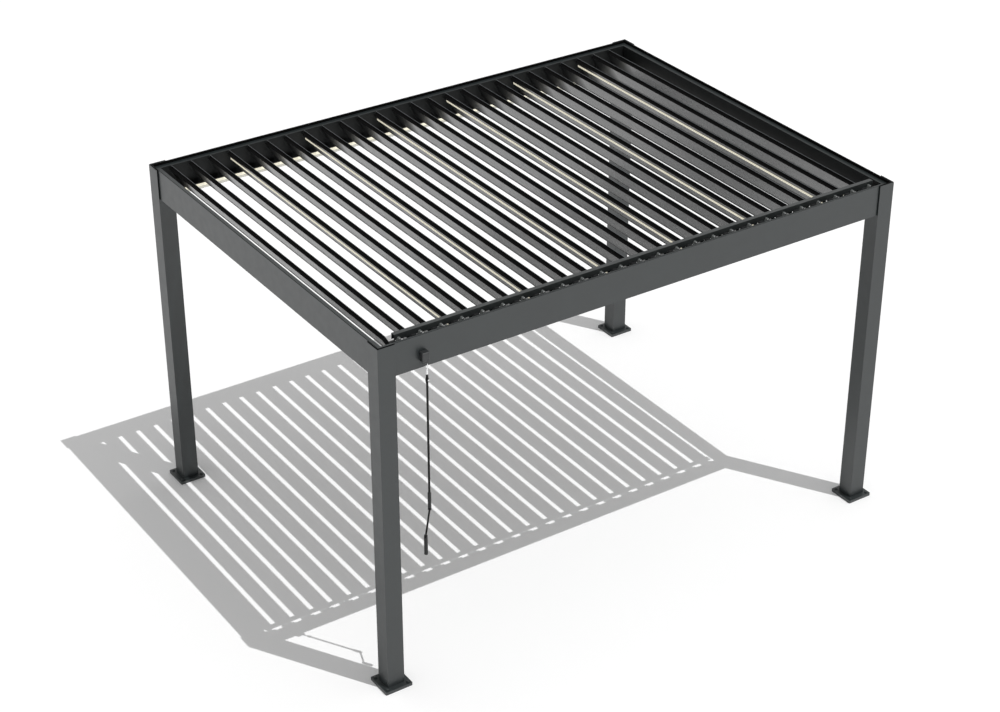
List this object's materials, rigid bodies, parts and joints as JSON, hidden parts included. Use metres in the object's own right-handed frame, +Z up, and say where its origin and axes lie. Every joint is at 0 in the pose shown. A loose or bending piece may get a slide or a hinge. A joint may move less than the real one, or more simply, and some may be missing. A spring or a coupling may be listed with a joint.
{
  "type": "louvered pergola",
  "caption": "Free-standing aluminium pergola with square posts, gutter beams, turning roof louvres with light strips, a link bar and a hooked crank.",
  "frame": {"origin": "on the ground at the centre of the four posts' footprint", "axes": "+Z up, X along the long front, the front with the crank and link bar faces -Y"},
  "size_m": [4.075, 3.128, 2.503],
  "materials": {
    "frame_aluminium": "anthracite powder coat, satin",
    "louvre_aluminium": "grey powder coat, satin",
    "link_bar_aluminium": "anthracite powder coat",
    "black_seal": "matt black",
    "foot_steel": "dark powder coat",
    "nylon": "black nylon",
    "gear_casting": "black coat",
    "chrome": "bright chrome",
    "crank_metal": "dark powder coat",
    "grip_plastic": "black moulded grip",
    "light_diffuser": "warm white diffuser"
  },
  "bodies": {
    "frame": {"post_front_left": "frame_aluminium", "post_front_right": "frame_aluminium", "post_rear_right": "frame_aluminium", "post_rear_left": "frame_aluminium", "beam_front": "frame_aluminium", "beam_rear": "frame_aluminium", "beam_left": "frame_aluminium", "beam_right": "frame_aluminium", "foot_plates": "foot_steel", "corner_brackets": "frame_aluminium", "corner_trims": "black_seal", "rim_seals": "black_seal", "gutter_lights": "light_diffuser", "bushes_front": "nylon", "bushes_rear": "nylon", "gearbox": "gear_casting"},
    "louvre_01": {"louvre_01": "louvre_aluminium"},
    "louvre_02": {"louvre_02": "louvre_aluminium"},
    "louvre_03": {"louvre_03": "louvre_aluminium"},
    "louvre_04": {"louvre_04": "louvre_aluminium", "louvre_light_04": "light_diffuser"},
    "louvre_05": {"louvre_05": "louvre_aluminium"},
    "louvre_06": {"louvre_06": "louvre_aluminium"},
    "louvre_07": {"louvre_07": "louvre_aluminium"},
    "louvre_08": {"louvre_08": "louvre_aluminium", "louvre_light_08": "light_diffuser"},
    "louvre_09": {"louvre_09": "louvre_aluminium"},
    "louvre_10": {"louvre_10": "louvre_aluminium"},
    "louvre_11": {"louvre_11": "louvre_aluminium"},
    "louvre_12": {"louvre_12": "louvre_aluminium", "louvre_light_12": "light_diffuser"},
    "louvre_13": {"louvre_13": "louvre_aluminium"},
    "louvre_14": {"louvre_14": "louvre_aluminium"},
    "louvre_15": {"louvre_15": "louvre_aluminium"},
    "louvre_16": {"louvre_16": "louvre_aluminium", "louvre_light_16": "light_diffuser"},
    "louvre_17": {"louvre_17": "louvre_aluminium"},
    "louvre_18": {"louvre_18": "louvre_aluminium"},
    "louvre_19": {"louvre_19": "louvre_aluminium"},
    "louvre_20": {"louvre_20": "louvre_aluminium", "louvre_light_20": "light_diffuser"},
    "louvre_21": {"louvre_21": "louvre_aluminium"},
    "louvre_22": {"louvre_22": "louvre_aluminium"},
    "louvre_23": {"louvre_23": "louvre_aluminium"},
    "louvre_24": {"louvre_24": "louvre_aluminium", "louvre_light_24": "light_diffuser"},
    "louvre_25": {"louvre_25": "louvre_aluminium"},
    "louvre_26": {"louvre_26": "louvre_aluminium"},
    "link_bar": {"link_bar": "link_bar_aluminium"},
    "crank": {"crank_eye": "gear_casting", "crank_hook": "chrome", "crank_rod": "crank_metal"},
    "crank_arm": {"crank_arm": "crank_metal"},
    "crank_grip": {"crank_grip": "grip_plastic"}
  },
  "joints": [
    {"name": "louvre_tilt", "type": "hinge", "parent": "frame", "child": "louvre_13", "pos_m": [-0.0732, 0, 2.4], "axis": [0, 1, 0], "range_deg": [-58.5, 31.5]},
    {"name": "louvre_01_turn", "type": "hinge", "parent": "frame", "child": "louvre_01", "pos_m": [-1.83, 0, 2.4], "axis": [0, 1, 0], "range_deg": [-58.5, 31.5]},
    {"name": "louvre_02_turn", "type": "hinge", "parent": "frame", "child": "louvre_02", "pos_m": [-1.6836, 0, 2.4], "axis": [0, 1, 0], "range_deg": [-58.5, 31.5]},
    {"name": "louvre_03_turn", "type": "hinge", "parent": "frame", "child": "louvre_03", "pos_m": [-1.5372, 0, 2.4], "axis": [0, 1, 0], "range_deg": [-58.5, 31.5]},
    {"name": "louvre_04_turn", "type": "hinge", "parent": "frame", "child": "louvre_04", "pos_m": [-1.3908, 0, 2.4], "axis": [0, 1, 0], "range_deg": [-58.5, 31.5]},
    {"name": "louvre_05_turn", "type": "hinge", "parent": "frame", "child": "louvre_05", "pos_m": [-1.2444, 0, 2.4], "axis": [0, 1, 0], "range_deg": [-58.5, 31.5]},
    {"name": "louvre_06_turn", "type": "hinge", "parent": "frame", "child": "louvre_06", "pos_m": [-1.098, 0, 2.4], "axis": [0, 1, 0], "range_deg": [-58.5, 31.5]},
    {"name": "louvre_07_turn", "type": "hinge", "parent": "frame", "child": "louvre_07", "pos_m": [-0.9516, 0, 2.4], "axis": [0, 1, 0], "range_deg": [-58.5, 31.5]},
    {"name": "louvre_08_turn", "type": "hinge", "parent": "frame", "child": "louvre_08", "pos_m": [-0.8052, 0, 2.4], "axis": [0, 1, 0], "range_deg": [-58.5, 31.5]},
    {"name": "louvre_09_turn", "type": "hinge", "parent": "frame", "child": "louvre_09", "pos_m": [-0.6588, 0, 2.4], "axis": [0, 1, 0], "range_deg": [-58.5, 31.5]},
    {"name": "louvre_10_turn", "type": "hinge", "parent": "frame", "child": "louvre_10", "pos_m": [-0.5124, 0, 2.4], "axis": [0, 1, 0], "range_deg": [-58.5, 31.5]},
    {"name": "louvre_11_turn", "type": "hinge", "parent": "frame", "child": "louvre_11", "pos_m": [-0.366, 0, 2.4], "axis": [0, 1, 0], "range_deg": [-58.5, 31.5]},
    {"name": "louvre_12_turn", "type": "hinge", "parent": "frame", "child": "louvre_12", "pos_m": [-0.2196, 0, 2.4], "axis": [0, 1, 0], "range_deg": [-58.5, 31.5]},
    {"name": "louvre_14_turn", "type": "hinge", "parent": "frame", "child": "louvre_14", "pos_m": [0.0732, 0, 2.4], "axis": [0, 1, 0], "range_deg": [-58.5, 31.5]},
    {"name": "louvre_15_turn", "type": "hinge", "parent": "frame", "child": "louvre_15", "pos_m": [0.2196, 0, 2.4], "axis": [0, 1, 0], "range_deg": [-58.5, 31.5]},
    {"name": "louvre_16_turn", "type": "hinge", "parent": "frame", "child": "louvre_16", "pos_m": [0.366, 0, 2.4], "axis": [0, 1, 0], "range_deg": [-58.5, 31.5]},
    {"name": "louvre_17_turn", "type": "hinge", "parent": "frame", "child": "louvre_17", "pos_m": [0.5124, 0, 2.4], "axis": [0, 1, 0], "range_deg": [-58.5, 31.5]},
    {"name": "louvre_18_turn", "type": "hinge", "parent": "frame", "child": "louvre_18", "pos_m": [0.6588, 0, 2.4], "axis": [0, 1, 0], "range_deg": [-58.5, 31.5]},
    {"name": "louvre_19_turn", "type": "hinge", "parent": "frame", "child": "louvre_19", "pos_m": [0.8052, 0, 2.4], "axis": [0, 1, 0], "range_deg": [-58.5, 31.5]},
    {"name": "louvre_20_turn", "type": "hinge", "parent": "frame", "child": "louvre_20", "pos_m": [0.9516, 0, 2.4], "axis": [0, 1, 0], "range_deg": [-58.5, 31.5]},
    {"name": "louvre_21_turn", "type": "hinge", "parent": "frame", "child": "louvre_21", "pos_m": [1.098, 0, 2.4], "axis": [0, 1, 0], "range_deg": [-58.5, 31.5]},
    {"name": "louvre_22_turn", "type": "hinge", "parent": "frame", "child": "louvre_22", "pos_m": [1.2444, 0, 2.4], "axis": [0, 1, 0], "range_deg": [-58.5, 31.5]},
    {"name": "louvre_23_turn", "type": "hinge", "parent": "frame", "child": "louvre_23", "pos_m": [1.3908, 0, 2.4], "axis": [0, 1, 0], "range_deg": [-58.5, 31.5]},
    {"name": "louvre_24_turn", "type": "hinge", "parent": "frame", "child": "louvre_24", "pos_m": [1.5372, 0, 2.4], "axis": [0, 1, 0], "range_deg": [-58.5, 31.5]},
    {"name": "louvre_25_turn", "type": "hinge", "parent": "frame", "child": "louvre_25", "pos_m": [1.6836, 0, 2.4], "axis": [0, 1, 0], "range_deg": [-58.5, 31.5]},
    {"name": "louvre_26_turn", "type": "hinge", "parent": "frame", "child": "louvre_26", "pos_m": [1.83, 0, 2.4], "axis": [0, 1, 0], "range_deg": [-58.5, 31.5]},
    {"name": "link_bar_pin", "type": "hinge", "parent": "louvre_13", "child": "link_bar", "pos_m": [-0.04518, -1.3855, 2.47493], "axis": [0, 1, 0], "range_deg": [-31.5, 58.5]},
    {"name": "crank_turn", "type": "hinge", "parent": "frame", "child": "crank", "pos_m": [-1.678, -1.518, 0], "axis": [0, 0, 1], "range_deg": [-936, 504]},
    {"name": "crank_arm_fold", "type": "hinge", "parent": "crank", "child": "crank_arm", "pos_m": [-1.678, -1.518, 1.283], "axis": [-0.6606, 0.7507, 0], "range_deg": [-33, 57]},
    {"name": "crank_grip_fold", "type": "hinge", "parent": "crank_arm", "child": "crank_grip", "pos_m": [-1.74632, -1.57812, 1.143], "axis": [-0.6606, 0.7507, 0], "range_deg": [-57, 33]}
  ],
  "couplings": [
    {"joint": "louvre_01_turn", "follows": "louvre_tilt", "ratio": 1},
    {"joint": "louvre_02_turn", "follows": "louvre_tilt", "ratio": 1},
    {"joint": "louvre_03_turn", "follows": "louvre_tilt", "ratio": 1},
    {"joint": "louvre_04_turn", "follows": "louvre_tilt", "ratio": 1},
    {"joint": "louvre_05_turn", "follows": "louvre_tilt", "ratio": 1},
    {"joint": "louvre_06_turn", "follows": "louvre_tilt", "ratio": 1},
    {"joint": "louvre_07_turn", "follows": "louvre_tilt", "ratio": 1},
    {"joint": "louvre_08_turn", "follows": "louvre_tilt", "ratio": 1},
    {"joint": "louvre_09_turn", "follows": "louvre_tilt", "ratio": 1},
    {"joint": "louvre_10_turn", "follows": "louvre_tilt", "ratio": 1},
    {"joint": "louvre_11_turn", "follows": "louvre_tilt", "ratio": 1},
    {"joint": "louvre_12_turn", "follows": "louvre_tilt", "ratio": 1},
    {"joint": "louvre_14_turn", "follows": "louvre_tilt", "ratio": 1},
    {"joint": "louvre_15_turn", "follows": "louvre_tilt", "ratio": 1},
    {"joint": "louvre_16_turn", "follows": "louvre_tilt", "ratio": 1},
    {"joint": "louvre_17_turn", "follows": "louvre_tilt", "ratio": 1},
    {"joint": "louvre_18_turn", "follows": "louvre_tilt", "ratio": 1},
    {"joint": "louvre_19_turn", "follows": "louvre_tilt", "ratio": 1},
    {"joint": "louvre_20_turn", "follows": "louvre_tilt", "ratio": 1},
    {"joint": "louvre_21_turn", "follows": "louvre_tilt", "ratio": 1},
    {"joint": "louvre_22_turn", "follows": "louvre_tilt", "ratio": 1},
    {"joint": "louvre_23_turn", "follows": "louvre_tilt", "ratio": 1},
    {"joint": "louvre_24_turn", "follows": "louvre_tilt", "ratio": 1},
    {"joint": "louvre_25_turn", "follows": "louvre_tilt", "ratio": 1},
    {"joint": "louvre_26_turn", "follows": "louvre_tilt", "ratio": 1},
    {"joint": "link_bar_pin", "follows": "louvre_tilt", "ratio": -1},
    {"joint": "crank_turn", "follows": "louvre_tilt", "ratio": 16}
  ]
}
